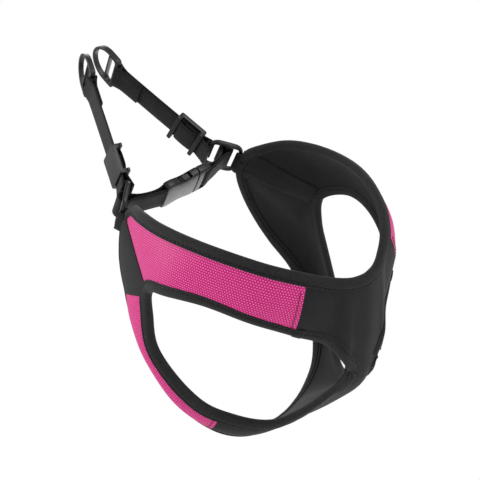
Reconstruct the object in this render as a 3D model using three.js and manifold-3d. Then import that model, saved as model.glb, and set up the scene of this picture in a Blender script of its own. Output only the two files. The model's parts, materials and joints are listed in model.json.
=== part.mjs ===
// Step-in dog harness: a soft vest with two leg holes, a clip buckle across the back and two lead straps.
// Units are millimetres. +X points to the dog's head, +Y to its left side and +Z up.
// The origin is the middle of the space that the dog's chest fills, under the buckle.
import * as THREE from 'three';
import Module from 'manifold-3d';
import { mergeVertices } from 'three/addons/utils/BufferGeometryUtils.js';

const wasm = await Module();
wasm.setup();

// ---------------------------------------------------------------- driving dimensions

// The vest's edges on the left side. Each list runs from the side tab, station 0, to the middle of the chest.
const NECK_EDGE = [
  [25, 52, 82], [46, 63, 67], [62, 68, 47], [77, 67, 23], [89, 61, 0],
  [96, 51, -21], [100, 38, -38], [102, 24, -51], [102, 10, -60], [102, 0, -62],
];
const REAR_EDGE = [
  [-4, 52, 85], [-26, 57, 73], [-40, 61, 56], [-49, 65, 38], [-59, 68, 14],
  [-74, 66, -18], [-92, 49, -48], [-101, 32, -60], [-106, 14, -66], [-107, 0, -68],
];
// The leg hole, from its top end forward and down to its low end, then back along its rear side.
const LEG_HOLE = [
  [13, 80, 34], [36, 84, 13], [54, 75, -13], [61, 61, -39], [60, 43, -60], [54, 25, -79],
  [30, 15, -97], [-38, 30, -80], [-60, 50, -58], [-46, 70, -32], [-27, 80, 1], [-10, 79, 24],
];
const TAB_END = [11, 54, 83]; // middle of the tab's end, under the side ring
const CHEST_LOW = [20, 0, -103]; // lowest point of the chest, on the middle line

const LAST_STATION = 9;
const HOLE_TOP_STATION = 2;
const HOLE_LOW_STATION = 8;
const MESH_START = { shoulder: 0.4, girth: 2.2 }; // stations where the mesh covers start
const MESH_END = 5; // where the mesh covers meet the black chest
const TAB_PATCH_SPAN = [0.1, 2.15];
const LINING_SPAN = [0.2, 1.9];

// How far each half of the vest bows out from a straight line across it, station by station.
const SHOULDER_BOW = [2, 3, 4, 5, 5, 5, 5.5, 7, 10, 13];
const GIRTH_BOW = [2, 3, 4, 5, 5.5, 6, 6.5, 7.5, 9, 9.5];

const NEOPRENE = 3; // thickness of the padded base
const COVER = 0.8; // thickness of the mesh cover and of the tab's patches
const BINDING_WIDTH = 6;
const BINDING_THICKNESS = 5;
const BINDING_LIFT = -1; // the binding's inner face, measured out from the pad's
const GAP = 0.3; // air between touching pieces

const WEBBING_WIDTH = 20;
const WEBBING = 3.2; // two plies of webbing
const EYE_HOLE = 2.75; // radius inside a webbing loop
const EYE = 4.25; // radius outside a webbing loop
const TONGUE = 11; // how far the tab's loop reaches from its bar into the tab
const BAR = 3.2; // width of a hardware bar inside a loop
const BAR_THICKNESS = 3.6;

const RING_CENTRE = [2, 47, 100.5];
const RING_TILT = 45; // degrees that the side ring leans in from upright
const RING_WIDTH = 31;
const RING_TAB_BAR = -13.1; // bar centres along the side ring
const RING_MIDDLE_BAR = -3.1;
const RING_TOP_BAR = 10.6;
const RING_SLOT = 23.5;

const LEAD_STRAP_END = [13.5, 12, 195]; // centre of the lead ring's bar
const LEAD_RING_WIDTH = 30;
const LEAD_RING_HEIGHT = 26;
const LEAD_RING_LEAN = { left: 2, right: 24 }; // degrees that each lead ring leans in from upright

const SLIDE_PLACE = 21; // middle of the slide, measured up the lead strap from the side ring
const SLIDE_LENGTH = 24;
const SLIDE_WIDTH = 27;

const BUCKLE_MOUTH = [2, 12.5, 92]; // where the male half meets the female half
const BUCKLE_WIDTH = 27.5;
const BUCKLE_THICKNESS = 8;
const FEMALE_LENGTH = 30;
const MALE_LENGTH = 13;
const SOCKET_HALF_WIDTH = 11.5;
const SOCKET_HALF_HEIGHT = 2.7;
const PRONG_THICKNESS = 4.4;

// ---------------------------------------------------------------- materials

const material = (color, roughness) =>
  new THREE.MeshStandardMaterial({ color, roughness, metalness: 0 });
const MATERIALS = {
  neoprene: material('#1f1f21', 0.85),
  binding: material('#2a2a2c', 0.9),
  mesh: material('#e0408c', 0.75),
  webbing: material('#202022', 0.8),
  plastic: material('#2b2c2d', 0.45),
};

// ---------------------------------------------------------------- small helpers

const vector = (list) => new THREE.Vector3(...list);
const curve = (lists, closed = false) =>
  new THREE.CatmullRomCurve3(lists.map(vector), closed, 'catmullrom', 0.5);
const lerp = (a, b, t) => a.clone().lerp(b, t);

function named(name, geometry, look) {
  const mesh = new THREE.Mesh(geometry, look);
  mesh.name = name;
  return mesh;
}

// A closed three.js geometry as a manifold-3d solid.
function solid(geometry) {
  const bare = geometry.clone();
  bare.deleteAttribute('normal');
  bare.deleteAttribute('uv');
  const merged = mergeVertices(bare, 1e-4);
  return new wasm.Manifold(new wasm.Mesh({
    numProp: 3,
    vertProperties: merged.attributes.position.array,
    triVerts: new Uint32Array(merged.index.array),
  }));
}

// The largest body that is left of a solid once it is cut back from its neighbours.
function trimmed(geometry, cutters) {
  let made = solid(geometry);
  cutters.forEach((cutter) => { made = made.subtract(cutter); });
  const bodies = made.decompose().sort((a, b) => b.volume() - a.volume());
  return geometryOf(bodies[0]);
}

function geometryOf(made) {
  const { vertProperties, triVerts } = made.getMesh();
  const geometry = new THREE.BufferGeometry();
  geometry.setAttribute('position', new THREE.BufferAttribute(vertProperties, 3));
  geometry.setIndex(new THREE.BufferAttribute(triVerts, 1));
  geometry.computeVertexNormals();
  return geometry;
}

// A box given by its lowest and highest corners.
function block([x0, y0, z0], [x1, y1, z1]) {
  const box = new THREE.BoxGeometry(x1 - x0, y1 - y0, z1 - z0);
  return box.translate((x0 + x1) / 2, (y0 + y1) / 2, (z0 + z1) / 2);
}

function roundedRectangle(Kind, left, bottom, width, height, radius) {
  const right = left + width;
  const top = bottom + height;
  return new Kind()
    .moveTo(left + radius, bottom)
    .lineTo(right - radius, bottom)
    .absarc(right - radius, bottom + radius, radius, -Math.PI / 2, 0)
    .lineTo(right, top - radius)
    .absarc(right - radius, top - radius, radius, 0, Math.PI / 2)
    .lineTo(left + radius, top)
    .absarc(left + radius, top - radius, radius, Math.PI / 2, Math.PI)
    .lineTo(left, bottom + radius)
    .absarc(left + radius, bottom + radius, radius, Math.PI, Math.PI * 1.5);
}

// A flat plate of the given outline, centred on its own plane.
function plate(outline, thickness, curveSegments = 5) {
  return new THREE.ExtrudeGeometry(outline, { depth: thickness, bevelEnabled: false, curveSegments })
    .translate(0, 0, -thickness / 2);
}

// Puts an object's own axes, x across and y along, at a place in the harness.
function place(object, origin, along, across = new THREE.Vector3(-1, 0, 0)) {
  const run = along.clone().normalize();
  const normal = new THREE.Vector3().crossVectors(across, run).normalize();
  const width = new THREE.Vector3().crossVectors(run, normal);
  object.quaternion.setFromRotationMatrix(new THREE.Matrix4().makeBasis(width, run, normal));
  object.position.copy(origin);
  return object;
}

// ---------------------------------------------------------------- the vest's surface

const neckEdge = curve(NECK_EDGE);
const rearEdge = curve(REAR_EDGE);
const legHole = curve(LEG_HOLE, true);
const tabEnd = vector(TAB_END);
const chestLow = vector(CHEST_LOW);
const holeCentre = LEG_HOLE.map(vector)
  .reduce((sum, point) => sum.add(point), new THREE.Vector3())
  .divideScalar(LEG_HOLE.length);

// Outward direction on a chest-shaped oval, which every piece of the vest follows closely.
function outward(point) {
  const [halfLength, halfWidth, halfHeight] = [170, 85, 100];
  return new THREE.Vector3(
    point.x / halfLength ** 2,
    point.y / halfWidth ** 2,
    (point.z + 5) / halfHeight ** 2,
  ).normalize();
}

// A point near the leg hole: turn runs round the hole from 0 to 1, inset is the distance into the cloth.
function holePoint(turn, inset) {
  const point = legHole.getPoint(turn);
  const aside = new THREE.Vector3().crossVectors(legHole.getTangent(turn), outward(point)).normalize();
  if (aside.dot(point.clone().sub(holeCentre)) < 0) aside.negate();
  return point.addScaledVector(aside, inset);
}

// The seam between the shoulder half and the girth half. It parts round the leg hole.
function seam(half, station) {
  const inset = BINDING_WIDTH + GAP;
  if (station <= HOLE_TOP_STATION) {
    return lerp(tabEnd, holePoint(0, inset), station / HOLE_TOP_STATION);
  }
  if (station >= HOLE_LOW_STATION) {
    return lerp(holePoint(0.5, inset), chestLow, station - HOLE_LOW_STATION);
  }
  const turn = (station - HOLE_TOP_STATION) / LEG_HOLE.length;
  return holePoint(half === 'shoulder' ? turn : 1 - turn, inset);
}

function bow(half, station) {
  const list = half === 'shoulder' ? SHOULDER_BOW : GIRTH_BOW;
  const below = Math.min(Math.floor(station), LAST_STATION - 1);
  return THREE.MathUtils.lerp(list[below], list[below + 1], station - below);
}

// A point of the vest's inner face. across runs from 0 at the outer edge to 1 at the seam.
function vestPoint(half, station, across) {
  const edge = (half === 'shoulder' ? neckEdge : rearEdge).getPoint(station / LAST_STATION);
  const inner = seam(half, station);
  const swell = 4 * across * (1 - across) * bow(half, station);
  return lerp(edge, inner, across).addScaledVector(outward(lerp(edge, inner, 0.5)), swell);
}

// The share of the way across that lies a distance in from the outer edge.
function shareAcross(half, station, distance) {
  const probe = 0.05;
  const step = vestPoint(half, station, probe).distanceTo(vestPoint(half, station, 0));
  return (distance * probe) / step;
}

// Four-cornered patches of one half of the vest. from and to give the share across at a station.
function patches(half, first, last, from, to, cells, steps = 2) {
  const columns = Math.round((last - first) * steps);
  const point = (column, row) => {
    const station = first + ((last - first) * column) / columns;
    const [low, high] = [from(station), to(station)];
    return vestPoint(half, station, low + ((high - low) * row) / cells);
  };
  const quads = [];
  for (let column = 0; column < columns; column++) {
    for (let row = 0; row < cells; row++) {
      quads.push([
        point(column, row), point(column + 1, row), point(column + 1, row + 1), point(column, row + 1),
      ]);
    }
  }
  return quads;
}

const mirrored = (quads) => quads.map((quad) => quad.map((p) => new THREE.Vector3(p.x, -p.y, p.z)));

// A closed sheet of even thickness on a set of patches, raised off the vest's inner face by lift.
function sheet(quads, lift, thickness) {
  const keys = new Map();
  const points = [];
  const normals = [];
  const vertexOf = (point) => {
    const key = [point.x, point.y, point.z].map((value) => Math.round(value * 100)).join();
    if (!keys.has(key)) {
      keys.set(key, points.length);
      points.push(point);
      normals.push(new THREE.Vector3());
    }
    return keys.get(key);
  };
  const faces = quads.map((quad) => {
    const normal = new THREE.Vector3().crossVectors(
      quad[2].clone().sub(quad[0]), quad[3].clone().sub(quad[1]));
    const centre = lerp(quad[0], quad[2], 0.5);
    const turned = normal.dot(outward(centre)) < 0;
    if (turned) normal.negate();
    const corners = (turned ? [...quad].reverse() : quad).map(vertexOf);
    corners.forEach((corner) => normals[corner].add(normal));
    return corners;
  });
  normals.forEach((normal) => normal.normalize());
  const layer = (height) => points.flatMap((p, i) => p.clone().addScaledVector(normals[i], height).toArray());
  const count = points.length;
  const triangles = [];
  const quadFace = (a, b, c, d) => triangles.push(a, b, c, a, c, d);
  const edges = new Set();
  for (const [a, b, c, d] of faces) {
    quadFace(a + count, b + count, c + count, d + count);
    triangles.push(a, c, b, a, d, c);
    [[a, b], [b, c], [c, d], [d, a]].forEach((edge) => edges.add(edge.join()));
  }
  for (const edge of edges) {
    const [a, b] = edge.split(',').map(Number);
    if (!edges.has([b, a].join())) quadFace(a, b, b + count, a + count);
  }
  const geometry = new THREE.BufferGeometry();
  const positions = new Float32Array([...layer(lift), ...layer(lift + thickness)]);
  geometry.setAttribute('position', new THREE.BufferAttribute(positions, 3));
  geometry.setIndex(triangles);
  geometry.computeVertexNormals();
  return geometry;
}

// ---------------------------------------------------------------- where the side rings hang

const tilt = THREE.MathUtils.degToRad(RING_TILT);
const ringAlong = new THREE.Vector3(0, -Math.sin(tilt), Math.cos(tilt));
const ringCentre = vector(RING_CENTRE);
const barCentre = (distance) => ringCentre.clone().addScaledVector(ringAlong, distance);
const tabBar = barCentre(RING_TAB_BAR);
const toTab = tabEnd.clone().setX(tabBar.x).sub(tabBar);

const EYE_SIDES = 14;

function eyeCylinder(radius, width, along) {
  return solid(new THREE.CylinderGeometry(radius, radius, width, EYE_SIDES)
    .rotateZ(Math.PI / 2).translate(0, along, 0));
}

// The room for the webbing loop that is sewn into the tab's end.
function loopRoom() {
  const half = WEBBING_WIDTH / 2 + GAP;
  const depth = WEBBING / 2 + GAP;
  const tongueRoom = solid(block([-half, 0, -depth], [half, TONGUE + GAP, depth]));
  const made = tongueRoom.add(eyeCylinder(EYE + GAP, 2 * half, 0));
  const mesh = place(new THREE.Mesh(geometryOf(made)), tabBar, toTab);
  mesh.updateMatrix();
  return solid(mesh.geometry.applyMatrix4(mesh.matrix));
}

const loopRooms = { left: loopRoom() };
loopRooms.right = loopRooms.left.mirror([0, 1, 0]);

// ---------------------------------------------------------------- soft pieces

const pastBinding = (half) => (station) => shareAcross(half, station, BINDING_WIDTH + GAP);
const atEdge = () => 0;
const atSeam = () => 1;
const STATION_GAP = 0.02; // about 0.4 mm between neighbouring panels
const SEAM_MARGIN = 1; // from a cover's edge to the seam
const OUTER_LIFT = NEOPRENE + 0.7;
const INNER_LIFT = -COVER - 0.7;

const onSide = (side, quads) => (side === 'left' ? quads : mirrored(quads));

// Strips of the vest's surface along each bound edge, for the left side.
function edgeStrip(half, width) {
  return patches(half, 0, LAST_STATION, atEdge, (station) => shareAcross(half, station, width), 1, 3);
}

function legStrip(width) {
  const steps = LEG_HOLE.length * 3;
  return Array.from({ length: steps }, (_, step) => {
    const [turn, next] = [step / steps, ((step + 1) % steps) / steps];
    return [holePoint(turn, 0), holePoint(next, 0), holePoint(next, width), holePoint(turn, width)];
  });
}

// The room that a binding needs, cut out of the pads and covers beside it.
function bindingRoom(quads) {
  return solid(sheet(quads, BINDING_LIFT - 2 * GAP, BINDING_THICKNESS + 4 * GAP));
}

const legRoom = { left: bindingRoom(legStrip(BINDING_WIDTH + GAP)) };
legRoom.right = bindingRoom(mirrored(legStrip(BINDING_WIDTH + GAP)));
const edgeRoom = ['shoulder', 'girth'].map((half) => {
  const strip = edgeStrip(half, BINDING_WIDTH + GAP);
  return bindingRoom([...strip, ...mirrored(strip)]);
});

// The padded base of one side: the tab and both arms, which part round the leg hole.
function sidePad(side) {
  const quads = ['shoulder', 'girth'].flatMap((half) =>
    patches(half, 0, MESH_END - STATION_GAP, pastBinding(half), atSeam, 3));
  const cutters = [legRoom[side], ...edgeRoom, loopRooms[side]];
  const geometry = trimmed(sheet(onSide(side, quads), 0, NEOPRENE), cutters);
  return named(`side_pad_${side}`, geometry, MATERIALS.neoprene);
}

function chestPad() {
  const left = ['shoulder', 'girth'].flatMap((half) =>
    patches(half, MESH_END, LAST_STATION, pastBinding(half), atSeam, 4));
  const geometry = sheet([...left, ...mirrored(left)], 0, NEOPRENE);
  const cutters = [legRoom.left, legRoom.right, ...edgeRoom];
  return named('chest_pad', trimmed(geometry, cutters), MATERIALS.neoprene);
}

// A thin layer on one face of a half's padding, between two stations.
function layer(side, half, first, last, lift) {
  const from = (station) => shareAcross(half, station, BINDING_WIDTH + GAP);
  const to = (station) => 1 - shareAcross(half, station, SEAM_MARGIN);
  const quads = onSide(side, patches(half, first, last, from, to, 3));
  return trimmed(sheet(quads, lift, COVER), [legRoom[side], ...edgeRoom, loopRooms[side]]);
}

// The pink mesh lies on the outside of each arm.
function meshCover(side, half) {
  const geometry = layer(side, half, MESH_START[half], MESH_END - STATION_GAP, OUTER_LIFT);
  return named(`${half}_mesh_${side}`, geometry, MATERIALS.mesh);
}

// A black patch covers the outside of the tab, from its end to the leg hole.
function tabPatch(side) {
  return named(`tab_patch_${side}`, layer(side, 'girth', ...TAB_PATCH_SPAN, OUTER_LIFT), MATERIALS.neoprene);
}

// A lining patch backs each half of the tab on the inside, where the webbing loop is sewn through.
function tabLining(side, half) {
  return named(`${half}_lining_${side}`, layer(side, half, ...LINING_SPAN, INNER_LIFT), MATERIALS.neoprene);
}

function edgeBinding(name, half) {
  const left = edgeStrip(half, BINDING_WIDTH);
  const geometry = sheet([...left, ...mirrored(left)], BINDING_LIFT, BINDING_THICKNESS);
  return named(name, trimmed(geometry, Object.values(loopRooms)), MATERIALS.binding);
}

function legBinding(side) {
  const geometry = sheet(onSide(side, legStrip(BINDING_WIDTH)), BINDING_LIFT, BINDING_THICKNESS);
  return named(`leg_binding_${side}`, geometry, MATERIALS.binding);
}

// ---------------------------------------------------------------- webbing

// Two plies of webbing from y = 0, with a loop at each place listed in eyes.
function webbingStrap(start, end, eyes) {
  const half = WEBBING_WIDTH / 2;
  let made = solid(block([-half, start, -WEBBING / 2], [half, end, WEBBING / 2]));
  eyes.forEach((eye) => { made = made.add(eyeCylinder(EYE, WEBBING_WIDTH, eye)); });
  eyes.forEach((eye) => { made = made.subtract(eyeCylinder(EYE_HOLE, WEBBING_WIDTH + 1, eye)); });
  return geometryOf(made);
}

// ---------------------------------------------------------------- hard pieces

function barHole(low, high) {
  const radius = Math.min(1.4, (high - low) / 2);
  return roundedRectangle(THREE.Path, -RING_SLOT / 2, low, RING_SLOT, high - low, radius);
}

// A flat ring with three bars: the tab's loop, the buckle strap and the lead strap each take one.
function sideRing() {
  const reach = BAR / 2;
  const low = RING_TAB_BAR - reach;
  const high = RING_TOP_BAR + reach;
  const outline = roundedRectangle(THREE.Shape, -RING_WIDTH / 2, low, RING_WIDTH, high - low, 5);
  outline.holes.push(barHole(RING_TAB_BAR + reach, RING_MIDDLE_BAR - reach));
  outline.holes.push(barHole(RING_MIDDLE_BAR + reach, RING_TOP_BAR - reach));
  return plate(outline, BAR_THICKNESS);
}

// A D-shaped ring: a bar for the strap, a slot, a thin bar, and the round opening for the lead's clip.
function leadRing() {
  const half = LEAD_RING_WIDTH / 2;
  const low = -BAR / 2;
  const shoulder = 9;
  const wall = 3.4;
  const thinBar = [7.6, 9.8];
  const outline = new THREE.Shape()
    .moveTo(-half + 3, low)
    .lineTo(half - 3, low)
    .absarc(half - 3, low + 3, 3, -Math.PI / 2, 0)
    .lineTo(half, shoulder)
    .absellipse(0, shoulder, half, LEAD_RING_HEIGHT - shoulder, 0, Math.PI)
    .lineTo(-half, low + 3)
    .absarc(-half + 3, low + 3, 3, Math.PI, Math.PI * 1.5);
  outline.holes.push(roundedRectangle(
    THREE.Path, -RING_SLOT / 2, BAR / 2, RING_SLOT, thinBar[0] - BAR / 2, 1.6));
  const opening = new THREE.Path()
    .moveTo(-half + wall, thinBar[1])
    .lineTo(half - wall, thinBar[1])
    .absellipse(0, thinBar[1], half - wall, LEAD_RING_HEIGHT - thinBar[1] - wall, 0, Math.PI);
  outline.holes.push(opening);
  return plate(outline, BAR_THICKNESS, 8);
}

// The strap slide: a face plate outside the webbing, two bars inside it and a rail along each side.
function strapSlide() {
  const half = SLIDE_WIDTH / 2;
  const rail = WEBBING_WIDTH / 2 + 0.6;
  const end = SLIDE_LENGTH / 2;
  const clear = WEBBING / 2 + GAP;
  const skin = 2;
  let made = solid(block([-half + 1, -end, -clear - skin], [-rail, end, clear + skin]));
  const pieces = [
    block([rail, -end, -clear - skin], [half - 1, end, clear + skin]),
    block([-half + 1, -end + 3, clear], [half - 1, end - 3, clear + skin]),
    block([-half, -end, -clear - skin], [half, -end + 3.6, -clear]),
    block([-half, end - 3.6, -clear - skin], [half, end, -clear]),
  ];
  pieces.forEach((piece) => { made = made.add(solid(piece)); });
  return geometryOf(made);
}

// The buckle's own frame: y runs from the female half's strap bar to the male half's strap bar.
// y = 0 is where the male half's shoulder meets the female half's mouth.
function buckleFemale() {
  const half = BUCKLE_WIDTH / 2;
  const depth = BUCKLE_THICKNESS / 2;
  const back = -FEMALE_LENGTH;
  const outline = roundedRectangle(THREE.Shape, -half, back, BUCKLE_WIDTH, FEMALE_LENGTH, 3);
  const cuts = [
    block([-SOCKET_HALF_WIDTH, back + 8.5, -SOCKET_HALF_HEIGHT], [SOCKET_HALF_WIDTH, 1, SOCKET_HALF_HEIGHT]),
    block([-half - 1, -16, -SOCKET_HALF_HEIGHT], [half + 1, -7, SOCKET_HALF_HEIGHT]),
    block([-RING_SLOT / 2 + 1, back + BAR, -depth - 1], [RING_SLOT / 2 - 1, back + 7, depth + 1]),
    block([-half + 2.5, back - 1, BAR_THICKNESS / 2], [half - 2.5, back + 7, depth + 1]),
    block([-half + 2.5, back - 1, -depth - 1], [half - 2.5, back + 7, -BAR_THICKNESS / 2]),
  ];
  let made = solid(plate(outline, BUCKLE_THICKNESS));
  cuts.forEach((cut) => { made = made.subtract(solid(cut)); });
  return geometryOf(made);
}

function buckleMale() {
  const half = BUCKLE_WIDTH / 2;
  const depth = BUCKLE_THICKNESS / 2;
  const end = MALE_LENGTH;
  const outline = roundedRectangle(THREE.Shape, -half, 0.4, BUCKLE_WIDTH, end - 0.4, 2.5);
  const cuts = [
    block([-RING_SLOT / 2 + 1, 5, -depth - 1], [RING_SLOT / 2 - 1, end - BAR, depth + 1]),
    block([-half + 2.5, 5, BAR_THICKNESS / 2], [half - 2.5, end + 1, depth + 1]),
    block([-half + 2.5, 5, -depth - 1], [half - 2.5, end + 1, -BAR_THICKNESS / 2]),
  ];
  let made = solid(plate(outline, BUCKLE_THICKNESS - 0.6));
  cuts.forEach((cut) => { made = made.subtract(solid(cut)); });
  return geometryOf(made.add(solid(block([-2.4, -19, -2.2], [2.4, 1.5, 2.2]))));
}

// A springy prong: a thin arm with a barb that shows in the female half's side window.
function prong() {
  const root = -0.1;
  const outline = new THREE.Shape()
    .moveTo(7.4, root)
    .lineTo(10, root)
    .lineTo(9.6, -7.6)
    .lineTo(SOCKET_HALF_WIDTH - 0.2, -8)
    .lineTo(SOCKET_HALF_WIDTH - 0.2, -13)
    .lineTo(8.4, -17.5)
    .lineTo(6.8, -17.5)
    .closePath();
  return plate(outline, PRONG_THICKNESS);
}

// ---------------------------------------------------------------- assembly

const harness = new THREE.Group();

for (const side of ['left', 'right']) {
  for (const half of ['shoulder', 'girth']) {
    harness.add(meshCover(side, half));
    harness.add(tabLining(side, half));
  }
  harness.add(sidePad(side), tabPatch(side), legBinding(side));
}
harness.add(chestPad());
harness.add(edgeBinding('neck_binding', 'shoulder'));
harness.add(edgeBinding('rear_binding', 'girth'));

// The hardware of one side, built for the left and mirrored for the right.
function sideHardware(side) {
  const group = new THREE.Group();
  group.scale.y = side === 'left' ? 1 : -1;

  group.add(place(named(`side_ring_${side}`, sideRing(), MATERIALS.plastic), ringCentre, ringAlong));

  const loop = webbingStrap(0, TONGUE, [0]);
  group.add(place(named(`tab_loop_${side}`, loop, MATERIALS.webbing), tabBar, toTab));

  const hinge = barCentre(RING_TOP_BAR);
  const strapEnd = vector(LEAD_STRAP_END);
  const run = strapEnd.clone().sub(hinge);
  const upright = run.clone().setX(0);
  const skew = new THREE.Matrix4().set(
    1, -run.x / upright.length(), 0, 0,
    0, 1, 0, 0,
    0, 0, 1, 0,
    0, 0, 0, 1,
  );
  const strap = webbingStrap(0, upright.length(), [0, upright.length()]).applyMatrix4(skew);
  group.add(place(named(`lead_strap_${side}`, strap, MATERIALS.webbing), hinge, upright));

  const slideAt = hinge.clone().addScaledVector(run.clone().normalize(), SLIDE_PLACE);
  group.add(place(named(`strap_slide_${side}`, strapSlide(), MATERIALS.plastic), slideAt, run));

  const lean = THREE.MathUtils.degToRad(LEAD_RING_LEAN[side]);
  const up = new THREE.Vector3(0, -Math.sin(lean), Math.cos(lean));
  group.add(place(named(`lead_ring_${side}`, leadRing(), MATERIALS.plastic), strapEnd, up));
  return group;
}

harness.add(sideHardware('left'), sideHardware('right'));

// The buckle lies across the back, its female half towards the right side.
const buckle = new THREE.Group();
buckle.add(named('buckle_female', buckleFemale(), MATERIALS.plastic));
buckle.add(named('buckle_male', buckleMale(), MATERIALS.plastic));
for (const [name, turn] of [['prong_front', 0], ['prong_rear', Math.PI]]) {
  const mesh = named(name, prong(), MATERIALS.plastic);
  mesh.rotation.y = turn;
  buckle.add(mesh);
}
buckle.position.set(...BUCKLE_MOUTH);
harness.add(buckle);

// Each buckle strap runs from its half's bar to the middle bar of the side ring.
function buckleStrap(side, barInBuckle) {
  const from = buckle.position.clone().add(new THREE.Vector3(0, barInBuckle, 0));
  const to = barCentre(RING_MIDDLE_BAR);
  if (side === 'right') to.y *= -1;
  const run = to.clone().sub(from);
  const flat = run.clone().setX(0);
  const skew = new THREE.Matrix4().set(
    1, -run.x / flat.length(), 0, 0,
    0, 1, 0, 0,
    0, 0, 1, 0,
    0, 0, 0, 1,
  );
  const strap = webbingStrap(0, flat.length(), [0, flat.length()]).applyMatrix4(skew);
  return place(named(`buckle_strap_${side}`, strap, MATERIALS.webbing), from, flat);
}
harness.add(buckleStrap('right', -FEMALE_LENGTH + BAR / 2));
harness.add(buckleStrap('left', MALE_LENGTH - BAR / 2));

export default harness;
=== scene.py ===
import functools
import json
import math

import bmesh
import bpy
import numpy as np
from mathutils import Matrix, Vector
from mathutils.bvhtree import BVHTree


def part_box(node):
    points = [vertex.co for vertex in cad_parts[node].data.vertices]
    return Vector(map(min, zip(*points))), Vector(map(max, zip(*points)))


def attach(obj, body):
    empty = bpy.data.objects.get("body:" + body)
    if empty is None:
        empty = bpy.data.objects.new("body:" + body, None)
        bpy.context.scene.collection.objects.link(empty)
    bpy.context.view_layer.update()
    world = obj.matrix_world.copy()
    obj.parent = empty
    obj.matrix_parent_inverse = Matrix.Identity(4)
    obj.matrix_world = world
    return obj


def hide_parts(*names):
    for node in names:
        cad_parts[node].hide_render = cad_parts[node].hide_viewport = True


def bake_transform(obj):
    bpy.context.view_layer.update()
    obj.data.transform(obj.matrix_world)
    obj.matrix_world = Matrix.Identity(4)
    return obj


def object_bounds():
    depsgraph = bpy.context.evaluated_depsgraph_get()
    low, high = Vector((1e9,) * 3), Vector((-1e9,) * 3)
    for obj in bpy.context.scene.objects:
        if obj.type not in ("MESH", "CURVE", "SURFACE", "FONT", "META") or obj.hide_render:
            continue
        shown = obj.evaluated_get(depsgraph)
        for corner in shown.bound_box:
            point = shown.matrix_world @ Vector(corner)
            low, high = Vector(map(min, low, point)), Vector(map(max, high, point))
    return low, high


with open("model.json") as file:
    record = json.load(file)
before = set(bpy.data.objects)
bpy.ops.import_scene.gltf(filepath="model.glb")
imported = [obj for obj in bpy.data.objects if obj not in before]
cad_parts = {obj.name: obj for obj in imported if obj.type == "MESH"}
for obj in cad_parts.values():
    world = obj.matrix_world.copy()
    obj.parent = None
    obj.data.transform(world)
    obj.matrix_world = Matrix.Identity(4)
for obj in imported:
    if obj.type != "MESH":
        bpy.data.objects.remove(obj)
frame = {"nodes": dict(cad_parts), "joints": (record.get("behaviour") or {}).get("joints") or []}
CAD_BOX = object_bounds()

bl_info = {
    "name": "Step-in dog harness",
    "version": (1, 0, 0),
    "blender": (4, 5, 0),
    "location": "3D View > Sidebar > Harness",
    "description": "Builds a padded step-in dog harness round its packed frame",
    "category": "Add Mesh",
}

MM = 0.001
SIDES = ("left", "right")
HALVES = ("shoulder", "girth")

# ---- the vest's outlines, in millimetres

# Each list runs from the tip of the left tab, station 0, to the middle of the chest.
NECK_EDGE = np.array([
    (9, 51.5, 87.5), (25, 52, 82), (46, 63, 67), (62, 68, 47), (77, 67, 23), (89, 61, 0),
    (97, 48, -25), (101, 33, -43), (102, 21, -53.5), (102, 10, -60), (102, 0, -62),
], float)
REAR_EDGE = np.array([
    (9, 51.5, 87.5), (-9, 52.5, 84.5), (-27, 57, 73), (-40, 61, 56), (-49, 65, 38), (-54.5, 68, 10.5),
    (-69, 66, -22), (-85, 52, -49), (-96, 34, -63), (-100, 15, -70), (-101, 0, -72),
], float)
# The leg hole, from its top end forward and down to its low end, then back along its rear side.
LEG_HOLE = np.array([
    (17, 80, 24), (38, 83.5, 10), (54, 75, -13), (61, 61, -39), (60, 41.5, -60), (54, 22.5, -79),
    (30, 15, -97), (-37, 33.5, -83.5), (-57, 54, -53), (-44, 71, -31), (-25, 80.5, 0), (-3, 79.5, 17),
], float)
CHEST_LOW = np.array((20, 0, -103), float)
LAST_STATION = 10
HOLE_TOP_STATION = 3
HOLE_LOW_STATION = 9
MESH_END = 7  # where the pink mesh meets the black chest
TAB_PATCH_END = 3.15
# How far each half bows out from a straight line across it, station by station.
SHOULDER_BOW = (0, 2, 3, 4, 4.5, 4.5, 6, 6, 1, 2, 4)
GIRTH_BOW = (0, 2, 3, 5, 7.5, 8.5, 8.5, 6, 4, 3, 3)
CHEST_OVAL = np.array((170, 85, 100), float)  # half sizes of the oval that the vest lies on
CHEST_OVAL_LIFT = 5

PAD = 3.0  # thickness of the padded base
SKIN = 4.0  # from the inner face to the outside of the mesh cover
COLUMNS_PER_STATION = 6
ROWS = 12  # rows of faces from an outer edge to the seam
SMOOTHING_STEPS = 24
MESH_LAYERS = (-0.75, 0.1)  # undersides and outsides of the covers, from the skin
PATCH_LAYERS = (-0.7, 0.75)
CLOTH = {"quality": 5, "mass": 0.3, "tension_stiffness": 15, "compression_stiffness": 15,
         "bending_stiffness": 0.5, "use_pressure": True, "uniform_pressure_force": 4}
CLOTH_FRAMES = 20
TAPE_THICK = 0.85
TAPE_NOSE = 2.2  # how far the tape's fold reaches over the edge
STITCH_INSET = 1.9  # from a tape's edge to its stitches

# ---- webbing and hard pieces, in millimetres

WEB_WIDTH = 20.0
WEB = 1.5  # thickness of the webbing
RING_HALF_WIDTH = 15.5
RING_BARS = (-13.1, -3.1, 10.6)  # bar centres along the side ring
BAR_REACH = 1.6  # half a bar
SLOT_HALF = 11.75
PLATE = 3.6  # thickness of the rings
EYE_RADIUS = 3.45  # of webbing sewn tightly round a bar
LOOSE_RADIUS = 4.2  # of webbing that only passes round a bar
BUCKLE_HALF = 13.9  # half the buckle's width
FOLD = 24.0  # length of the sewn fold at a lead ring
SLIDE_UP = 21.0  # from the side ring's top bar to the middle of a slide

# ---- studio, in metres and watts

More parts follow.
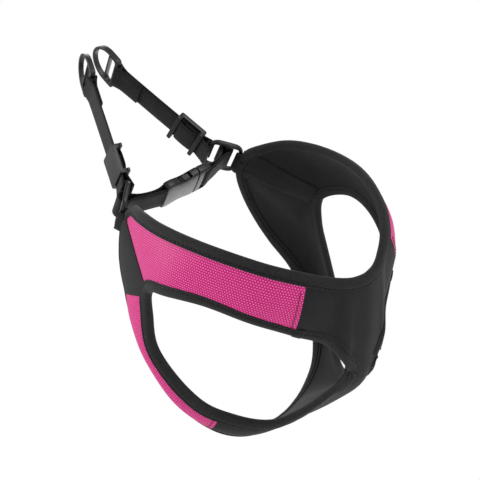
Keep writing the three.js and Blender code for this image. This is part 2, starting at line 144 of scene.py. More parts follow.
CAMERA_RIGHT = (0.27636, 0.74100, -0.61008)
CAMERA_UP = (0.54173, 0.40420, 0.73667)
CAMERA_BACK = (0.79551, -0.53257, -0.28967)
CAMERA_TARGET = (0.020, -0.00297, 0.027)
CAMERA_DISTANCE = 0.8
CAMERA_LENS = 84.98
LAMPS = (((-0.3, -1.1, 1.2), 0.9, 19), ((1.3, 0.5, 0.2), 0.8, 7),  # place, size, power
         ((-0.5, 0.9, 1.1), 1.0, 11), ((-1.0, 0.66, -0.33), 0.8, 3.5))
SKY_LIGHT = 0.4
FLOOR_RADIUS = 6


# ---- small helpers

def linear(code):
    """An sRGB hex colour as linear red, green and blue."""
    parts = [int(code[i:i + 2], 16) / 255 for i in (1, 3, 5)]
    return tuple(c / 12.92 if c <= 0.04045 else ((c + 0.055) / 1.055) ** 2.4 for c in parts)


def unit(v):
    return v / max(np.linalg.norm(v), 1e-9)


def curve_point(points, place, closed=False):
    """A point of the smooth curve through the given ones. place counts the points from 0."""
    count = len(points)
    low = int(math.floor(place))
    if not closed:
        low = min(low, count - 2)
    share = place - low

    def at(index):
        if closed:
            return points[index % count]
        if index < 0:
            return 2 * points[0] - points[1]
        if index >= count:
            return 2 * points[-1] - points[-2]
        return points[index]

    a, b, c, d = (at(low + step) for step in (-1, 0, 1, 2))
    return 0.5 * (2 * b + (c - a) * share + (2 * a - 5 * b + 4 * c - d) * share ** 2
                  + (3 * b - a - 3 * c + d) * share ** 3)


def outward(point):
    """Outward direction on the chest-shaped oval that the vest follows."""
    lifted = point + np.array((0, 0, CHEST_OVAL_LIFT))
    return unit(lifted / CHEST_OVAL ** 2)


def to_side(points, side):
    """Points of the left side, or their mirror images for the right side."""
    return points if side == "left" else np.asarray(points) * (1, -1, 1)


def hand(side):
    """1 on the left and -1 on the right, for what turns the other way there."""
    return 1 if side == "left" else -1


def lengths_along(line):
    """The length from the start of a line to each of its points."""
    return np.concatenate([[0], np.cumsum(np.linalg.norm(np.diff(line, axis=0), axis=1))])


def points_at(line, lengths, wanted):
    """The points of a line at the wanted lengths along it."""
    return np.array([np.interp(wanted, lengths, line[:, axis]) for axis in range(3)]).T


def node_box(name):
    """The corners of a CAD node's box, in millimetres."""
    return [np.array(corner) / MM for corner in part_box(name)]


def deselect():
    if bpy.context.mode != "OBJECT":
        bpy.ops.object.mode_set(mode="OBJECT")
    bpy.ops.object.select_all(action="DESELECT")


def activate(piece):
    deselect()
    piece.select_set(True)
    bpy.context.view_layer.objects.active = piece


def apply_modifiers(piece):
    activate(piece)
    for modifier in list(piece.modifiers):
        bpy.ops.object.modifier_apply(modifier=modifier.name)


def mesh_piece(name, points, faces, corner_uvs=None):
    """A new mesh object from points in millimetres, with a UV map in millimetres where one is given."""
    mesh = bpy.data.meshes.new(name)
    mesh.from_pydata([tuple(p) for p in np.asarray(points) * MM], [], [tuple(f) for f in faces])
    if corner_uvs is not None:
        layer = mesh.uv_layers.new(name="cloth")
        flat = np.array([uv for face in corner_uvs for uv in face], float)
        layer.data.foreach_set("uv", flat.ravel())
    mesh.validate()
    piece = bpy.data.objects.new(name, mesh)
    bpy.context.scene.collection.objects.link(piece)
    return piece


def smooth(piece, angle=None):
    activate(piece)
    if angle is None:
        bpy.ops.object.shade_smooth()
    else:
        bpy.ops.object.shade_smooth_by_angle(angle=math.radians(angle))


def subdivided(piece, levels=1, keep_corners=False):
    """Smooths a piece. keep_corners leaves its cut edges sharp, so that it meets its neighbour."""
    if keep_corners:
        mesh = bmesh.new()
        mesh.from_mesh(piece.data)
        crease = mesh.edges.layers.float.new("crease_edge")
        for edge in mesh.edges:
            if len(edge.link_faces) == 2 and edge.calc_face_angle() > math.radians(55):
                edge[crease] = 1.0
        mesh.to_mesh(piece.data)
        mesh.free()
    modifier = piece.modifiers.new("subdivision", "SUBSURF")
    modifier.levels = modifier.render_levels = levels
    apply_modifiers(piece)
    return piece


def finished(piece, body, slot, material, *nodes):
    """Gives a piece its material and says what it rides on and which CAD nodes it stands for."""
    piece.name = piece.data.name = piece.name.partition(".")[0] + "_surface"
    piece.data.materials.clear()
    piece.data.materials.append(material)
    if nodes:
        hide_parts(*nodes)
    if body:
        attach(piece, body)
    return piece


# ---- materials

def add_node(tree, kind, *inputs, output=0, named=(), **settings):
    """Adds a node, fills its inputs in order or by name from values or other nodes, and gives one output."""
    node = tree.nodes.new("ShaderNode" + kind)
    for key, value in settings.items():
        setattr(node, key, value)
    for key, value in [*enumerate(inputs), *dict(named).items()]:
        if isinstance(value, bpy.types.NodeSocket):
            tree.links.new(value, node.inputs[key])
        else:
            node.inputs[key].default_value = value
    return node.outputs[output] if len(node.outputs) else node


def blank_material(name, **values):
    """A new material and its Principled shader, with constants set on the shader's own sockets."""
    material = bpy.data.materials.new(name)
    material.use_nodes = True
    shader = next(n for n in material.node_tree.nodes if n.type == "BSDF_PRINCIPLED")
    for key, value in values.items():
        socket = shader.inputs[key.replace("_", " ")]
        socket.default_value = (*value, 1) if isinstance(value, tuple) else value
    return material, material.node_tree, shader


def cloth_coordinates(tree):
    """Along and across the cloth in millimetres, from the piece's own UV map."""
    along = add_node(tree, "SeparateXYZ", add_node(tree, "UVMap", uv_map="cloth"))
    return along, along.node.outputs[1]


def wave(tree, coordinate, pitch):
    """A smooth wave from 0 to 1 along a coordinate, one crest each pitch."""
    turn = add_node(tree, "Math", coordinate, 2 * math.pi / pitch, operation="MULTIPLY")
    return add_node(tree, "Math", add_node(tree, "Math", turn, operation="SINE"), 0.5, 0.5,
                    operation="MULTIPLY_ADD")


def blotches(tree, scale, detail=3.0):
    """Uneven shading of a surface, in object space. scale is patches in each metre."""
    place = add_node(tree, "TexCoord", output="Object")
    return add_node(tree, "TexNoise", output="Fac",
                    named={"Vector": place, "Scale": scale, "Detail": detail})


def worked(tree, shader, shade, dark, light, relief=None, depth=0.1, strength=0.6):
    """Colours a surface from dark to light by its shade, and raises its relief by a depth in millimetres."""
    colour = add_node(tree, "Mix", output=2, data_type="RGBA",
                      named={0: shade, 6: (*dark, 1), 7: (*light, 1)})
    tree.links.new(colour, shader.inputs["Base Color"])
    if relief is not None:
        bump = add_node(tree, "Bump", named={"Height": relief, "Distance": depth * MM, "Strength": strength})
        tree.links.new(bump, shader.inputs["Normal"])


@functools.lru_cache(None)
def neoprene():
    """Neoprene with a black nylon jersey face. The knit gives a soft, even, slightly dusty black."""
    material, tree, shader = blank_material(
        "neoprene_jersey", Roughness=0.82, IOR=1.45, Specular_IOR_Level=0.28, Sheen_Weight=0.06,
        Sheen_Roughness=0.5)
    along, across = cloth_coordinates(tree)
    # Real jersey has about 1.5 stitches in a millimetre. It is drawn at 0.9 mm so that it shows.
    knit = add_node(tree, "Math", wave(tree, along, 0.9), wave(tree, across, 0.9), operation="MULTIPLY")
    broad = add_node(tree, "Math", blotches(tree, 60), 0.4, operation="MULTIPLY")
    shade = add_node(tree, "Math", blotches(tree, 700), 0.6, broad, operation="MULTIPLY_ADD")
    worked(tree, shader, shade, linear("#0c0c0d"), linear("#2a2a2d"), knit, 0.12)
    return material


@functools.lru_cache(None)
def air_mesh():
    """Knitted polyester spacer mesh in pink. Rows of small open cells lie between shiny raised yarns, whose
    shine is a painted highlight: the yarns are coloured a lighter pink.
    """
    material, tree, shader = blank_material(
        "polyester_air_mesh", Roughness=0.5, IOR=1.5, Specular_IOR_Level=0.22, Sheen_Weight=0.04,
        Sheen_Roughness=0.4)
    look = bpy.context.scene.harness
    along, across = cloth_coordinates(tree)
    pitch = look.mesh_pitch / MM
    row = add_node(tree, "Math", across, pitch, operation="DIVIDE")
    whole = add_node(tree, "Math", row, operation="FLOOR")
    odd = add_node(tree, "Math", whole, 2.0, operation="MODULO")
    step = add_node(tree, "Math", odd, 0.5, operation="MULTIPLY")  # every second row is half a cell along
    column = add_node(tree, "Math", along, pitch * 1.15, operation="DIVIDE")
    cell = add_node(tree, "Math", column, step, operation="ADD")
    squares = []
    for place in (cell, row):
        offset = add_node(tree, "Math", add_node(tree, "Math", place, operation="FRACT"), 0.5,
                          operation="SUBTRACT")
        squares.append(add_node(tree, "Math", offset, offset, operation="MULTIPLY"))
    away = add_node(tree, "Math", add_node(tree, "Math", *squares, operation="ADD"), operation="SQRT")
    # yarn is both the raised yarns' relief and the mask where their painted highlight goes, as the lighter
    # yarn colour over the mesh pink.
    yarn = add_node(tree, "MapRange", away, 0.12, 0.4, 1.0, 0.0, interpolation_type="SMOOTHSTEP")
    worked(tree, shader, yarn, tuple(look.mesh_pink), tuple(look.mesh_yarn), yarn, 0.35, 0.8)
    return material


@functools.lru_cache(None)
def tape():
    """Black polyester binding tape, folded over the edge. Fine cross ribs make it lighter than neoprene."""
    material, tree, shader = blank_material(
        "polyester_binding_tape", Roughness=0.8, IOR=1.5, Specular_IOR_Level=0.25, Sheen_Weight=0.08,
        Sheen_Roughness=0.45)
    along, across = cloth_coordinates(tree)
    # Real ribs are 0.4 mm apart. They are drawn at 0.8 mm so that they show.
    cords = add_node(tree, "Math", wave(tree, across, 1.1), 0.4, operation="MULTIPLY")
    ribs = add_node(tree, "Math", wave(tree, along, 0.8), cords, operation="ADD")
    worked(tree, shader, blotches(tree, 600), linear("#0d0d0e"), linear("#2f2f31"), ribs)
    return material


@functools.lru_cache(None)
def webbing():
    """Black woven polyester webbing. Warp ribs run along it and catch the light as fine lines, which are
    painted into its colour as lighter crests.
    """
    material, tree, shader = blank_material(
        "polyester_webbing", Roughness=0.7, IOR=1.5, Specular_IOR_Level=0.3, Sheen_Weight=0.08,
        Sheen_Roughness=0.4)
    along, across = cloth_coordinates(tree)
    picks = add_node(tree, "Math", wave(tree, along, 1.0), 0.5, 0.5, operation="MULTIPLY_ADD")
    ribs = add_node(tree, "Math", wave(tree, across, 1.7), picks, operation="MULTIPLY")
    # The ribs also set the colour: painted highlights on their crests and painted shade in the grooves between
    # them, under uneven tone from the blotches.
    shade = add_node(tree, "Math", ribs, blotches(tree, 80), operation="MULTIPLY")
    worked(tree, shader, shade, linear("#0e0e0f"), linear("#343437"), ribs, 0.25, 0.8)
    return material


@functools.lru_cache(None)
def acetal():
    """Black acetal, injection moulded with a fine spark-eroded grain, so its gloss is satin."""
    material, tree, shader = blank_material(
        "acetal_moulded", Roughness=0.36, IOR=1.48, Specular_IOR_Level=0.5)
    worked(tree, shader, blotches(tree, 45), linear("#1a1b1c"), linear("#232425"),
           blotches(tree, 2600, 2.0), 0.04, 0.5)
    rough = add_node(tree, "Math", blotches(tree, 150), 0.14, 0.29, operation="MULTIPLY_ADD")
    tree.links.new(rough, shader.inputs["Roughness"])
    return material


@functools.lru_cache(None)
def thread():
    """Black bonded polyester thread. Its twist gives it a small soft shine."""
    material, tree, shader = blank_material(
        "polyester_thread", Roughness=0.5, IOR=1.5, Specular_IOR_Level=0.5)
    worked(tree, shader, blotches(tree, 900), linear("#0b0b0c"), linear("#1d1d1f"))
    return material


# ---- the vest's surface

def seam(half, station):
    """The line where the two halves of a side meet, or the leg hole's edge between them."""
    if station <= HOLE_TOP_STATION:
        share = station / HOLE_TOP_STATION
        return NECK_EDGE[0] * (1 - share) + LEG_HOLE[0] * share
    if station >= HOLE_LOW_STATION:
        share = station - HOLE_LOW_STATION
        return LEG_HOLE[6] * (1 - share) + CHEST_LOW * share
    place = station - HOLE_TOP_STATION
    return curve_point(LEG_HOLE, place if half == "shoulder" else len(LEG_HOLE) - place, True)


def vest_point(half, station, across):
    """A point of the inner face, on the left. across runs from 0 at the outer edge to 1 at the seam."""
    edge = curve_point(NECK_EDGE if half == "shoulder" else REAR_EDGE, station)
    inner = seam(half, station)
    bow = np.interp(station, range(LAST_STATION + 1), SHOULDER_BOW if half == "shoulder" else GIRTH_BOW)
    swell = 4 * across * (1 - across) * bow
    return edge * (1 - across) + inner * across + outward((edge + inner) / 2) * swell


class Surface:
    """The whole vest as one smooth grid: its points, its normals, and its faces with their places."""

    def __init__(self):
        self.points, self.faces, self.uvs, self.places, self.known = [], [], [], [], {}
        for half in HALVES:
            grid = self.grid(half)
            for side in SIDES:
                self.add_grid(to_side(grid, side), side, half)
        self.points = np.array(self.points)
        self.links = self.neighbours()
        self.smooth_creases()
        self.normals = self.vertex_normals()
        rim = self.points[self.rim]
        self.from_rim = np.array([np.linalg.norm(rim - p, axis=1).min() for p in self.points])

    @staticmethod
    def grid(half):
        columns = LAST_STATION * COLUMNS_PER_STATION
        return np.array([[vest_point(half, i / COLUMNS_PER_STATION, k / ROWS) for k in range(ROWS + 1)]
                         for i in range(columns + 1)])

    def vertex(self, point):
        key = tuple(np.round(point, 1))
        if key not in self.known:
            self.known[key] = len(self.points)
            self.points.append(point)
        return self.known[key]

    def add_grid(self, grid, side, half):
        along = np.array([lengths_along(line) for line in grid.transpose(1, 0, 2)]).T
        across = np.array([lengths_along(line) for line in grid])
        for i in range(len(grid) - 1):
            for k in range(ROWS):
                corners = [(i, k), (i + 1, k), (i + 1, k + 1), (i, k + 1)]
                if (half == "shoulder") != (side == "left"):
                    corners.reverse()
                face, uv = [], []
                for corner in corners:
                    index = self.vertex(grid[corner])
                    if index not in face:
                        face.append(index)
                        uv.append((along[corner], across[corner]))
                if len(face) < 3:
                    continue
                self.faces.append(face)
                self.uvs.append(uv)
                self.places.append((side, half, (i + 0.5) / COLUMNS_PER_STATION, k))

    def neighbours(self):
        links = [set() for _ in self.points]
        count = {}
        for face in self.faces:
            for a, b in zip(face, face[1:] + face[:1]):
                links[a].add(b)
                links[b].add(a)
                key = (min(a, b), max(a, b))
                count[key] = count.get(key, 0) + 1
        self.rim = sorted({v for edge, used in count.items() if used == 1 for v in edge})
        return [sorted(near) for near in links]

    def smooth_creases(self):
        """Takes out the creases between the halves without shrinking the bows. The outlines stay."""
        free = np.ones(len(self.points), bool)
        free[self.rim] = False
        for step in range(SMOOTHING_STEPS):
            means = np.array([self.points[near].mean(axis=0) for near in self.links])
            pull = 0.5 if step % 2 == 0 else -0.52  # in, then back out a little further
            self.points = np.where(free[:, None], self.points + pull * (means - self.points), self.points)

    def vertex_normals(self):
        normals = np.zeros_like(self.points)
        for face in self.faces:
            corners = self.points[face]
            normal = np.cross(corners[2] - corners[0], corners[-1] - corners[1])
            if np.dot(normal, outward(corners.mean(axis=0))) < 0:
                normal = -normal
            normals[face] += normal
        return normals / np.maximum(np.linalg.norm(normals, axis=1), 1e-9)[:, None]

    def chosen(self, test):
        """The faces whose place passes a test of side, half, station and row."""
        return [i for i, place in enumerate(self.places) if test(*place)]


def layered(name, low, high, faces, uvs):
    """A closed sheet between two layers of points, walled along its open edges. faces wind as the high one."""
    count = len(low)
    all_faces, all_uvs, edges = [], [], {}
    for face, uv in zip(faces, uvs):
        all_faces += [[v + count for v in face], face[::-1]]
        all_uvs += [uv, uv[::-1]]
        for n, a in enumerate(face):
            m = (n + 1) % len(face)
            edges[(a, face[m])] = (uv[n], uv[m])
    for (a, b), (uv_a, uv_b) in edges.items():
        if (b, a) not in edges:
            all_faces.append([a, b, b + count, a + count])
            all_uvs.append([uv_a, uv_b, uv_b, uv_a])
    return mesh_piece(name, np.vstack([low, high]), all_faces, all_uvs)


def shell(name, surface, chosen, low, high):
    """The chosen faces of the vest as a closed sheet between two layers, and the vertices that it uses."""
    used = sorted({v for i in chosen for v in surface.faces[i]})
    index = {v: n for n, v in enumerate(used)}
    faces, uvs = [], []
    for i in chosen:
        face, uv = [index[v] for v in surface.faces[i]], surface.uvs[i]
        corners = surface.points[surface.faces[i]]
        normal = np.cross(corners[2] - corners[0], corners[-1] - corners[1])
        if np.dot(normal, surface.normals[surface.faces[i]].sum(axis=0)) < 0:
            face, uv = face[::-1], uv[::-1]
        faces.append(face)
        uvs.append(uv)
    return layered(name, low[used], high[used], faces, uvs), used


def puffed(surface, chosen, low, high, held_width, rise):
    """Inflates a pad by cloth simulation. Gives its two layers, each moved by at most rise."""
    piece, used = shell("pad_in_simulation", surface, chosen, low, high)
    mine = set(used)
    group = piece.vertex_groups.new(name="held")
    for n, v in enumerate(used):
        if surface.from_rim[v] < held_width or not mine.issuperset(surface.links[v]):
            group.add([n, n + len(used)], 1.0, "REPLACE")
    activate(piece)
    modifier = piece.modifiers.new("cloth", "CLOTH")
    settings = modifier.settings
    for key, value in CLOTH.items():
        setattr(settings, key, value)
    settings.vertex_group_mass = "held"
    settings.effector_weights.gravity = 0
    for frame_number in range(1, CLOTH_FRAMES + 1):
        bpy.context.scene.frame_set(frame_number)
    evaluated = piece.evaluated_get(bpy.context.evaluated_depsgraph_get())
    moved = np.array([v.co for v in evaluated.data.vertices]) / MM
    bpy.context.scene.frame_set(1)
    bpy.data.objects.remove(piece)
    count = len(used)
    result = []
    for layer, new in ((low, moved[:count]), (high, moved[count:])):
        shift = new - layer[used]
        most = np.percentile(np.linalg.norm(shift, axis=1), 98)  # a few stray points don't count
        shift *= rise / max(most, rise)
        out = layer.copy()
        out[used] = layer[used] + shift
        result.append(out)
    return result


class Vest:
    """The vest's layers after simulation, and ways to find a point on them."""

    def __init__(self):
        settings = bpy.context.scene.harness
        self.surface = surface = Surface()
        points, normals = surface.points, surface.normals
        self.inner = points.copy()
        self.base = points + normals * PAD
        self.skin = points + normals * SKIN
        rise = settings.puff / MM
        held = settings.tape_outside / MM - 2  # the stitches hold the padding down this far from the rim
        self.side_faces = {
            side: surface.chosen(lambda s, half, station, row, side=side: s == side and station < MESH_END)
            for side in SIDES}
        self.chest_faces = surface.chosen(lambda s, half, station, row: station > MESH_END)
        for chosen in (*self.side_faces.values(), self.chest_faces):
            low, high = puffed(surface, chosen, self.inner, self.base, held, rise)
            self.skin += high - self.base
            self.inner, self.base = low, high
        self.inner_tree = self.tree(self.inner)
        self.skin_tree = self.tree(self.skin)

    def tree(self, layer):
        return BVHTree.FromPolygons([Vector(p) for p in layer], self.surface.faces)

    def on(self, tree, point):
        """The nearest point of a layer, and the outward normal there."""
        place, _, face, _ = tree.find_nearest(Vector(point))
        corners = self.surface.faces[face]
        away = [1 / (0.3 + np.linalg.norm(self.surface.points[c] - np.array(place))) ** 2 for c in corners]
        normal = unit(sum(w * self.surface.normals[c] for w, c in zip(away, corners)))
        return np.array(place), normal

    def tucked(self, layer, share=0.55):
        """A layer whose rim is drawn back under the tape."""
        rim = set(self.surface.rim)
        out = layer.copy()
        for v in self.surface.rim:
            near = [n for n in self.surface.links[v] if n not in rim]
            if near:
                out[v] = layer[v] * (1 - share) + layer[near].mean(axis=0) * share
        return out


@functools.lru_cache(None)
def vest():
    return Vest()


# ---- soft pieces of the vest

def pad_piece(name, faces, top):
    """A pad between the inner layer and a top layer."""
    body = vest()
    piece, _ = shell(name, body.surface, faces, body.tucked(body.inner), body.tucked(top))
    subdivided(piece, keep_corners=True)
    smooth(piece, 60)
    finished(piece, "vest", "neoprene", neoprene(), name)


def cover(name, side, half, first, last, low_lift, high_lift, rows=(0, ROWS)):
    """A thin layer on the outside of a pad, from one station to another."""
    surface = vest().surface
    chosen = surface.chosen(lambda s, h, station, row: s == side and h == half
                            and first < station < last and rows[0] <= row < rows[1])
    skin = vest().tucked(vest().skin, 0.4)
    low = skin + surface.normals * low_lift
    high = skin + surface.normals * high_lift
    piece, _ = shell(name, surface, chosen, low, high)
    subdivided(piece, keep_corners=True)
    smooth(piece, 60)
    return piece


def outline(kind, spacing=3.0):
    """Points along a bound edge with the direction into the cloth at each, in millimetres.

    kind is neck, rear, left or right, where the sides name their leg holes."""
    if kind in SIDES:
        places = np.linspace(0, len(LEG_HOLE), 600, endpoint=False)
        line = to_side(np.array([curve_point(LEG_HOLE, p, True) for p in places]), kind)
        centre = line.mean(axis=0)
        inside = line + (line - centre)
        closed = True
    else:
        edge, half = (NECK_EDGE, "shoulder") if kind == "neck" else (REAR_EDGE, "girth")
        places = np.linspace(0, LAST_STATION, 400)
        left = np.array([curve_point(edge, p) for p in places])
        deeper = np.array([seam(half, p) for p in np.maximum(places, 1.2)])
        line = np.vstack([left, to_side(left[::-1][1:], "right")])
        inside = np.vstack([deeper, to_side(deeper[::-1][1:], "right")])
        closed = False
    if closed:
        line, inside = np.vstack([line, line[:1]]), np.vstack([inside, inside[:1]])
    lengths = lengths_along(line)
    count = int(round(lengths[-1] / spacing))
    wanted = np.linspace(0, lengths[-1], count + (not closed), endpoint=not closed)
    even = points_at(line, lengths, wanted)
    if closed:
        tangents = np.roll(even, -1, axis=0) - np.roll(even, 1, axis=0)
    else:
        tangents = np.gradient(even, axis=0)
    sections = []
    for point, tangent, target in zip(even, tangents, points_at(inside, lengths, wanted)):
        tangent = unit(tangent)
        _, normal = vest().on(vest().inner_tree, point)
        aside = np.cross(tangent, normal)
        if np.dot(aside, target - point) < 0:
            aside = -aside
        sections.append((point, tangent, unit(aside), normal))
    return sections, wanted, closed


def tape_ring(section, outside, inside, over=0.0):
    """One closed section of folded tape: over the outer face, round the edge and back along the inner face.

    over lifts it clear of the tape below, where its two ends lap."""
    point, _, aside, normal = section
    nose = TAPE_NOSE
    middle = point + normal * SKIN / 2 + aside * nose

    def outer(inset, lift):
        place, away = vest().on(vest().skin_tree, point + normal * SKIN + aside * inset)
        return place + away * (lift + over)

    def inner(inset, lift):
        place, away = vest().on(vest().inner_tree, point + aside * inset)
        return place - away * (lift + over)

    # The dip at each row of stitches is what draws the tape into the padding.
    ring = [outer(outside, 0.05), outer(outside - 0.3, 0.75), outer(outside - 0.9, 0.9),
            outer(outside - STITCH_INSET, -0.15), outer(outside - 3.0, 1.1),
            outer((outside + nose) / 2, 1.45), outer(nose + 0.9, 1.2)]
    for angle in (62, 32, 0, -32, -62):
        turn = math.radians(angle)
        ring.append(middle - aside * (nose + 0.2 + over) * math.cos(turn)
                    + normal * (SKIN / 2 + TAPE_THICK * 0.9 + over) * math.sin(turn))
    ring += [inner(nose + 0.9, TAPE_THICK), inner((inside + nose) / 2, 1.2), inner(inside - 2.9, 1.0)]
    ring += [inner(inside - STITCH_INSET, 0.25), inner(inside - 0.9, 0.85), inner(inside - 0.3, 0.7),
             inner(inside, 0.05)]
    ring += [inner(inside, -0.4), inner(nose + 1.2, -0.4), outer(nose + 1.2, -0.4), outer(outside, -0.4)]
    return ring


def tube_of_rings(name, rings, stations, closed):
    """A closed mesh through rings of points, with cloth coordinates along and round it."""
    count = len(rings[0])
    points = [p for ring in rings for p in ring]
    middle = rings[len(rings) // 2]
    round_lengths = lengths_along(np.array(middle + middle[:1]))
    faces, uvs = [], []
    last = len(rings) if closed else len(rings) - 1
    spacing = stations[1] - stations[0]
    for i in range(last):
        j = (i + 1) % len(rings)
        for k in range(count):
            m = (k + 1) % count
            faces.append([i * count + k, j * count + k, j * count + m, i * count + m])
            u, v, w = stations[i], round_lengths[k], round_lengths[k + 1]
            uvs.append([(u, v), (u + spacing, v), (u + spacing, w), (u, w)])
    if not closed:
        faces += [list(range(count))[::-1], [last * count + k for k in range(count)]]
        uvs += [[(0, 0)] * count] * 2
    piece = mesh_piece(name, points, faces, uvs)
    outside_out(piece)
    return piece


def outside_out(piece):
    """Turns every face outwards."""
    mesh = bmesh.new()
    mesh.from_mesh(piece.data)
    bmesh.ops.recalc_face_normals(mesh, faces=mesh.faces)
    mesh.to_mesh(piece.data)
    mesh.free()


def binding_piece(name, kind, outside, inside):
    sections, stations, closed = outline(kind)
    rings = [tape_ring(section, outside, inside) for section in sections]
    piece = tube_of_rings(name, rings, stations, closed)
    subdivided(piece)
    smooth(piece)
    return finished(piece, "vest", "binding", tape(), name)


def tape_lap(side, outside, inside):
    """The short length where the ends of a leg hole's tape lap, below the end of the mesh."""
    sections, stations, _ = outline(side, 1.5)
    place = to_side(LEG_HOLE[4], side)
    first = int(np.argmin([np.linalg.norm(section[0] - place) for section in sections])) - 2
    length = slice(first, first + 6)
    rings = [tape_ring(section, outside + 0.5, inside + 0.5, 0.45) for section in sections[length]]
    piece = tube_of_rings(f"leg_tape_lap_{side}", rings, stations[length], False)
    subdivided(piece)
    smooth(piece)
    return finished(piece, "vest", "binding", tape())


def mesh_end_rows(side):
    """Where the stitches lie along the black end of each mesh cover and along the tab's seam."""
    pitch = 2.6  # closer than on the tape
    rows = []
    for half in HALVES:
        line = [vest_point(half, MESH_END - 0.1, across) for across in np.linspace(0.2, 0.82, 40)]
        rows += stitches_along(to_side(np.array(line), side), pitch)
    tab_seam = [vest_point("girth", station, 0.95) for station in np.linspace(1.2, 2.5, 40)]
    rows += stitches_along(to_side(np.array(tab_seam), side), pitch)
    return rows


def stitches_along(line, pitch):
    """Stitches on the vest's outside, evenly along a line of points."""
    lengths = lengths_along(line)
    body = vest()
    rows = []
    for length in np.arange(pitch, lengths[-1] - pitch / 2, pitch):
        here, ahead = (points_at(line, lengths, length + step) for step in (0, 0.5))
        _, normal = body.on(body.inner_tree, here)
        place, away = body.on(body.skin_tree, here + normal * SKIN)
        rows.append((place + away * 0.25, ahead - here, away))
    return rows


def stitch_template(length, radius):
    """One stitch of thread along X: a short rod with pointed ends, 24 faces."""
    points, faces = [], []
    for along, wide in ((-0.42, 0.75), (0, 1), (0.42, 0.75)):
        for k in range(6):
            turn = k * math.pi / 3
            points.append((along * length, math.cos(turn) * wide * radius, math.sin(turn) * wide * radius))
    points += [(-0.5 * length, 0, 0), (0.5 * length, 0, 0)]
    for k in range(6):
        m = (k + 1) % 6
        faces += [(start + k, start + m, start + 6 + m, start + 6 + k) for start in (0, 6)]
        faces += [(m, k, 18), (19, 12 + k, 12 + m)]
    return np.array(points), faces


def stitched(name, rows):
    """Joins stitches into one piece. Each row is one stitch's place, direction and outward way."""
    settings = bpy.context.scene.harness
    template, template_faces = stitch_template(settings.stitch_length / MM, settings.thread_width / MM / 2)
    points, faces = [], []
    for place, direction, normal in rows:
        direction = unit(direction)
        side = unit(np.cross(normal, direction))
        faces += [tuple(len(points) + v for v in face) for face in template_faces]
        points += list(template @ np.array([direction, side, np.cross(direction, side)]) + place)
    piece = mesh_piece(name, points, faces)
    outside_out(piece)
    smooth(piece)
    finished(piece, "vest", "binding", thread())


def binding_stitches(kind, width, face="outer"):
    """Where the stitches lie that hold a tape, a little in from the tape's own edge."""
    pitch = bpy.context.scene.harness.stitch_pitch / MM
    sections, _, _ = outline(kind, pitch)
    rows = []
    for point, tangent, aside, normal in sections:
        if face == "outer":
            place, away = vest().on(vest().skin_tree, point + normal * SKIN + aside * (width - STITCH_INSET))
        else:
            place, away = vest().on(vest().inner_tree, point + aside * (width - STITCH_INSET))
            away = -away
        rows.append((place + away * 0.55, tangent, away))
    return rows


# ---- webbing

def ribbon(name, path, thick=WEB, closed=False):
    """Webbing that follows a path in millimetres, with its width along X throughout."""
    across = np.array((1.0, 0, 0))
    count = len(path)
    half, lip = WEB_WIDTH / 2, thick / 2
    lower = [(-half, -lip * 0.4), (-half + 0.5, -lip), (-half / 2, -lip), (0, -lip), (half / 2, -lip),
             (half - 0.5, -lip), (half, -lip * 0.4)]
    profile = lower + [(across_it, -height) for across_it, height in lower[::-1]]
    rings = []
    for i in range(count):
        if closed:
            tangent = path[(i + 1) % count] - path[i - 1]
        else:
            tangent = path[min(i + 1, count - 1)] - path[max(i - 1, 0)]
        tangent = tangent - across * np.dot(tangent, across)
        normal = unit(np.cross(across, unit(tangent)))
        rings.append([path[i] + across * a + normal * b for a, b in profile])
    piece = tube_of_rings(name, rings, np.linspace(0, lengths_along(path)[-1], count), closed)
    smooth(piece, 50)
    return piece


def rounded(path, spacing=1.2):
    """A path through the given points, sampled evenly along a smooth curve."""
    path = np.asarray(path, float)
    fine = np.array([curve_point(path, p) for p in np.linspace(0, len(path) - 1, len(path) * 12)])
    lengths = lengths_along(fine)
    return points_at(fine, lengths, np.linspace(0, lengths[-1], max(int(lengths[-1] / spacing), 4)))


def joint_place(name):
    return np.array(next(j for j in frame["joints"] if j["name"] == name)["pos_m"]) / MM


def bar_places(side):
    """Centres of a side ring's three bars and the way along the ring, in millimetres."""
    low = joint_place(f"ring_tilt_{side}")
    high = joint_place(f"strap_swing_{side}")
    along = unit(high - low)
    return low, low + along * (RING_BARS[1] - RING_BARS[0]), high, along


def around(centre, start, turn, radius, steps=9):
    """An arc about a bar that runs along X, from a start direction through a turn in degrees."""
    start = unit(np.asarray(start, float))
    side = np.cross((1, 0, 0), start)
    angles = np.radians(np.linspace(0, turn, steps))
    return [centre + radius * (math.cos(a) * start + math.sin(a) * side) for a in angles]


def strap_ways(side):
    """A lead strap's two bars, the way from the lower to the upper, and the way to its inner face."""
    low = joint_place(f"strap_swing_{side}")
    high = joint_place(f"lead_ring_swing_{side}")
    run = unit(high - low)
    return low, high, run, unit(np.cross((1, 0, 0), run)) * hand(side)


def lead_strap_path(side):
    """From the sewn fold over the lead ring's bar, down round the side ring's top bar and into the slide."""
    low, high, run, inner = strap_ways(side)
    length = np.linalg.norm(high - low)
    half_turn = 180 * hand(side)

    def at(place, offset):
        return low + run * place + inner * offset

    path = [at(length - FOLD, 0.85), at(length - FOLD / 2, 0.9), at(length - 7, 1.3)]
    path += around(high, inner, half_turn, EYE_RADIUS)
    path += [at(length - 7, -1.3), at(length - FOLD / 2, -0.9), at(length - FOLD, -0.8), at(length / 2, -0.7),
             at(SLIDE_UP + 12, -0.8), at(SLIDE_UP, -0.85), at(9, -1.4)]
    path += around(at(-1.5, 0), -inner, half_turn, LOOSE_RADIUS)
    path += [at(9, 1.4), at(SLIDE_UP - 8, 0.85), at(SLIDE_UP + 3, 0.85)]
    return rounded(path)


def slide_cover_path(side):
    """The ply that stands proud between the two bars of a slide, as places along it and heights."""
    low, _, run, inner = strap_ways(side)
    shape = ((-8.4, 2.3), (-7, 2.75), (-4, 3.1), (0, 3.2), (4, 3.1), (7, 2.75), (8.4, 2.3))
    return rounded([low + run * (SLIDE_UP + along) + inner * lift for along, lift in shape])


